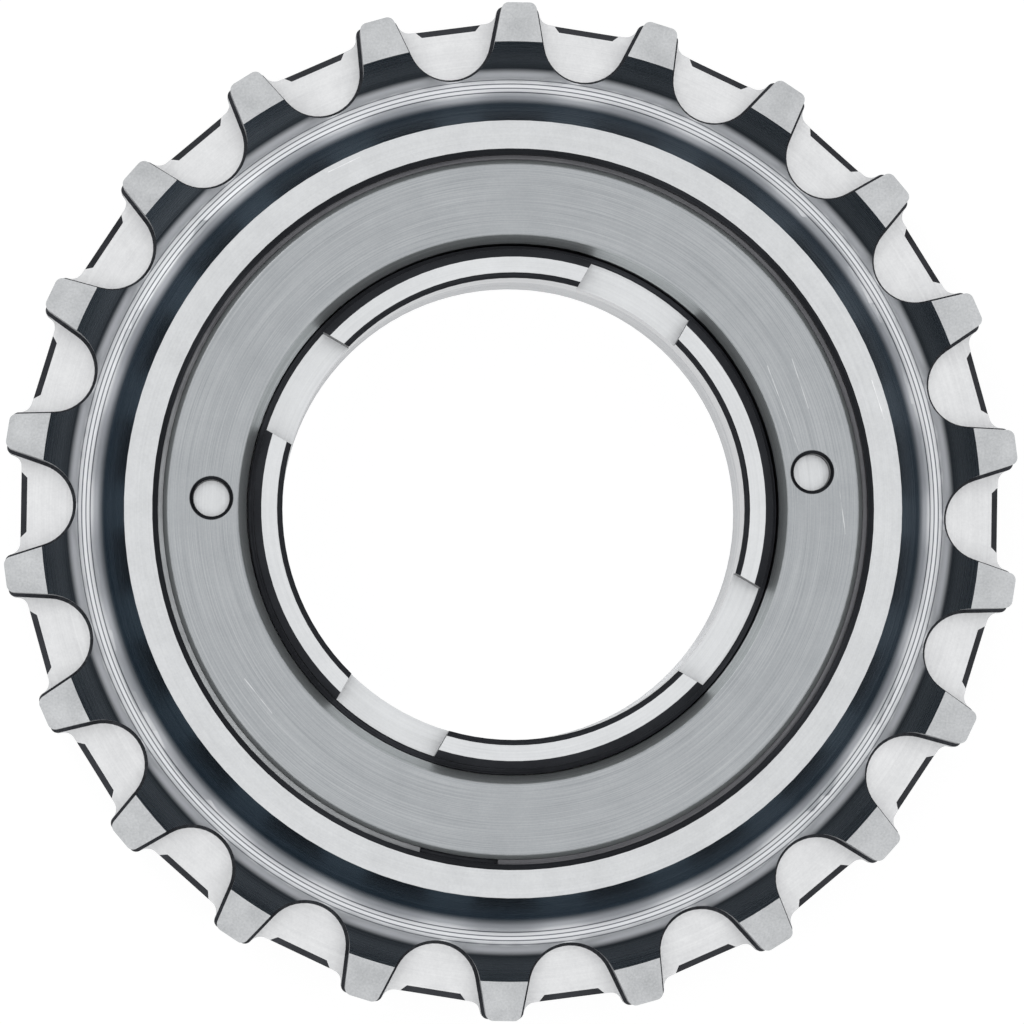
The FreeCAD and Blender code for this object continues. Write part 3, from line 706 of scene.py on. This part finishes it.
def seen_directly(tree):
    """1 for what the camera sees, straight or in a mirror or through glass."""
    path = add_node(tree, "ShaderNodeLightPath")
    first = maths(tree, "ADD", path.outputs["Is Camera Ray"], path.outputs["Is Glossy Ray"], clamp=True)
    return maths(tree, "ADD", first, path.outputs["Is Transmission Ray"], clamp=True)


# %% Floor
FLOOR_SIZE = 3.0
FLOOR_DROP = 0.02 * MM
FLOOR_GLOW = 1.18
GLOW_SHARE = 0.8
TABLE_TONE = (0.9, 0.9, 0.9, 1.0)
floor_mesh = bpy.data.meshes.new("floor")
bm = bmesh.new()
bmesh.ops.create_grid(bm, x_segments=2, y_segments=2, size=FLOOR_SIZE)
bmesh.ops.translate(bm, vec=(0, 0, -FLOOR_DROP), verts=bm.verts)
bm.to_mesh(floor_mesh)
bm.free()
floor = bpy.data.objects.new("floor", floor_mesh)
bpy.context.scene.collection.objects.link(floor)
floor_paint = bpy.data.materials.new("white_table")
floor_paint.use_nodes = True
floor_tree = floor_paint.node_tree
floor_tree.nodes.remove(floor_tree.nodes["Principled BSDF"])
matte = add_node(floor_tree, "ShaderNodeBsdfDiffuse", Color=TABLE_TONE)
glow = add_node(floor_tree, "ShaderNodeEmission", Color=WHITE, Strength=FLOOR_GLOW)
glowing = maths(floor_tree, "MULTIPLY", seen_directly(floor_tree), GLOW_SHARE)
mixed = add_node(floor_tree, "ShaderNodeMixShader", Fac=glowing, i1=matte.outputs[0], i2=glow.outputs[0])
floor_tree.links.new(mixed.outputs[0], floor_tree.nodes["Material Output"].inputs["Surface"])
floor_mesh.materials.append(floor_paint)
print("floor:", 2 * FLOOR_SIZE, "m wide")

# %% White surroundings
WORLD_LIGHT = 0.35
world = bpy.data.worlds.new("studio")
bpy.context.scene.world = world
world.use_nodes = True
sky = world.node_tree.nodes["Background"]
extra = maths(world.node_tree, "MULTIPLY", seen_directly(world.node_tree), 1.0 - WORLD_LIGHT)
world_level = maths(world.node_tree, "ADD", extra, WORLD_LIGHT)
world.node_tree.links.new(world_level, sky.inputs["Strength"])
sky.inputs["Color"].default_value = WHITE
print("world lights with a strength of", WORLD_LIGHT)

# %% [markdown]
# ## Soft light from above
# Flat polished steel is bright only where it mirrors something bright. One large soft lamp stands above the
# part, near the camera, so every face that looks at the camera mirrors it. Slopes look away from it and go
# dark, which is what draws the rings of this part. A second, smaller lamp at the upper left gives the floor a
# soft shadow with a direction.


# %% Lamps
def soft_lamp(name, place, size, power):
    data = bpy.data.lights.new(name, "AREA")
    data.shape = "DISK"
    data.size = size
    data.energy = power
    lamp = bpy.data.objects.new(name, data)
    lamp.location = place
    lamp.rotation_euler = (Vector((0, 0, 0)) - Vector(place)).to_track_quat("-Z", "Y").to_euler()
    bpy.context.scene.collection.objects.link(lamp)
    print(name, "lamp:", power, "W")


soft_lamp("overhead", place=(0.0, 0.0, 1.1), size=0.9, power=0.85)
soft_lamp("window", place=(-0.5, 0.6, 0.7), size=0.4, power=0.8)

# %% [markdown]
# ## Camera
# The photograph is taken almost straight down the axis from about 0.7 m with a long lens, leaning a little
# over two degrees towards the lower left, so the upper right of the bore's wall just shows. We could turn the
# camera by hand, but its three axes, worked out from the lean, give the same view every time.

# %% Camera
CAMERA_DISTANCE = 0.7
LEAN = math.radians(2.2)
LEAN_DIRECTION = math.radians(225)
FRAME_WIDTH = 75.3 * MM
SENSOR = 36.0
target = Vector((0.04 * MM, -0.08 * MM, TOOTH_FRONT_Z))
away = Vector((math.sin(LEAN) * math.cos(LEAN_DIRECTION), math.sin(LEAN) * math.sin(LEAN_DIRECTION),
               math.cos(LEAN)))
camera_data = bpy.data.cameras.new("camera")
camera_data.sensor_width = SENSOR
camera_data.lens = SENSOR * CAMERA_DISTANCE / FRAME_WIDTH
camera_data.clip_start = 0.05
camera_data.clip_end = 20.0
camera = bpy.data.objects.new("camera", camera_data)
camera.location = target + away * CAMERA_DISTANCE
back = away.normalized()
right = Vector((0, 1, 0)).cross(back).normalized()
up = back.cross(right)
camera.rotation_euler = Matrix((right, up, back)).transposed().to_euler()
bpy.context.scene.collection.objects.link(camera)
bpy.context.scene.camera = camera
bpy.context.scene.view_settings.view_transform = "Standard"
print("camera lens:", round(camera_data.lens), "mm")
